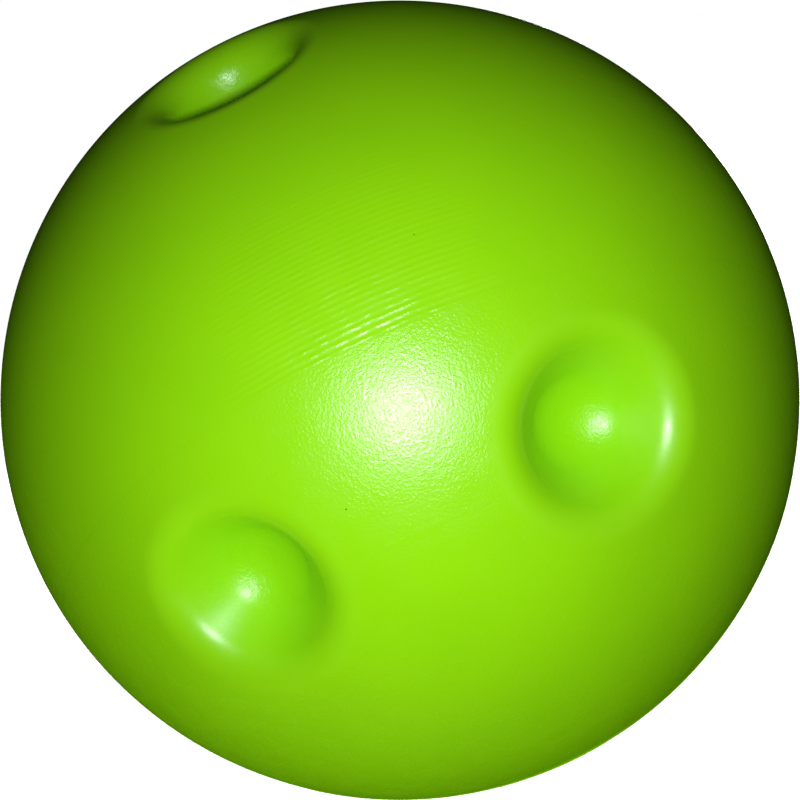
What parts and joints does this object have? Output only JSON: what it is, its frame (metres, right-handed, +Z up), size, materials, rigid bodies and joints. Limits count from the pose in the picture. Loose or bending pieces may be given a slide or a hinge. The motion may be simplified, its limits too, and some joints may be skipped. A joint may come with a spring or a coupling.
{
  "type": "toy bowling ball",
  "caption": "Hollow blow-moulded plastic bowling ball for a child's skittle game, with shallow rounded finger and thumb cups and a flush plug in its blow hole.",
  "frame": {"origin": "centre of the ball's sphere", "axes": "+Z up; X = 0 is the plane of symmetry, through the thumb cup and midway between the finger cups; the finger cups lie on the horizontal great circle and face -Y, one each side of X = 0; the thumb cup is above them"},
  "size_m": [0.1202, 0.12, 0.12],
  "materials": {
    "lime_shell": "glossy lime-green polyethylene with a fine orange-peel skin",
    "lime_plug": "smooth lime-green polyethylene, a little softer in gloss than the shell"
  },
  "bodies": {
    "root": {"ball_shell": "lime_shell", "blow_plug": "lime_plug"}
  },
  "joints": []
}
